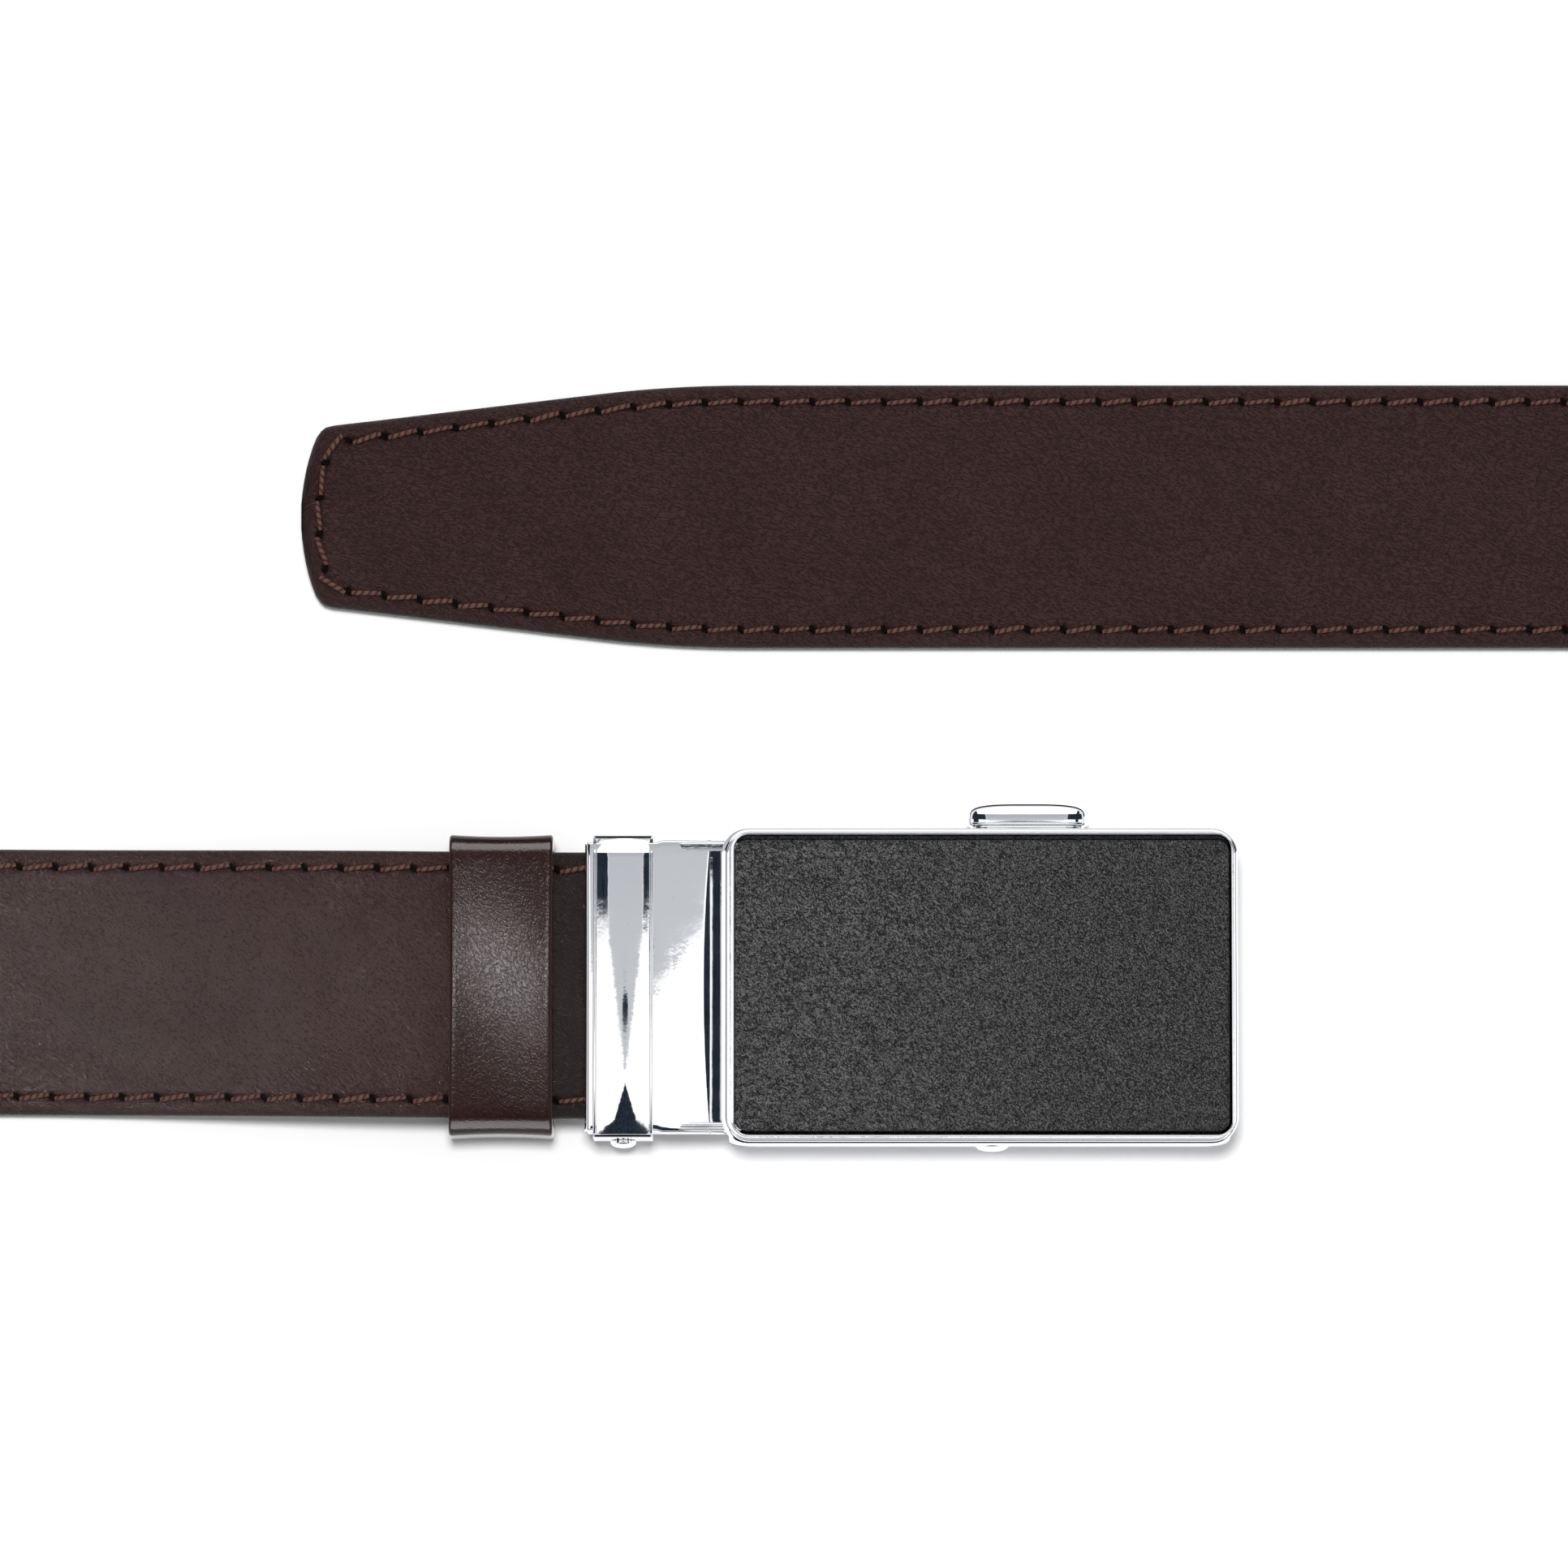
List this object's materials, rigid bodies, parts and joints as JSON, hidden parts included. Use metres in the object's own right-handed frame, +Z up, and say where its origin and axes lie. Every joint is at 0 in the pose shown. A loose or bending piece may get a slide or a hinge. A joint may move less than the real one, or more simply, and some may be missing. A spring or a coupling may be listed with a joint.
{
  "type": "ratchet belt",
  "caption": "Leather strap belt with a slide-through ratchet buckle: framed leather face, strap clamp, sprung release lever, keeper loop and a toothed track in the tail.",
  "frame": {"origin": "middle of the belt's footprint on the surface that it lies on", "axes": "+X along both rows from the tail's tip towards the buckle's open end, +Y from the buckle row towards the tail row, +Z up out of the grain face"},
  "size_m": [0.5252, 0.1882, 0.0351],
  "materials": {
    "strap_leather": "semi-matte dark brown full-grain leather with contrast border stitching",
    "keeper_leather": "glossy dark red-brown leather",
    "insert_leather": "pebbled black leather",
    "buckle_metal": "polished chrome on cast zinc",
    "mechanism_steel": "plain satin steel",
    "track_nylon": "moulded black nylon"
  },
  "bodies": {
    "belt": {"strap": "strap_leather", "ratchet_track": "track_nylon", "keeper_loop": "keeper_leather", "buckle_body": "buckle_metal", "face_insert": "insert_leather", "clamp_cover": "buckle_metal", "clamp_jaw": "mechanism_steel", "clamp_pin_upper": "buckle_metal", "clamp_pin_lower": "buckle_metal"},
    "lever": {"release_knob": "buckle_metal", "lever_pin": "buckle_metal", "pawl": "mechanism_steel"}
  },
  "joints": [
    {"name": "release_lever_hinge", "type": "hinge", "parent": "belt", "child": "lever", "pos_m": [0.04277, -0.07268, 0.0028], "axis": [0, 1, 0], "range_deg": [-18, 0], "stiffness_Nm_per_rad": 0.02}
  ]
}
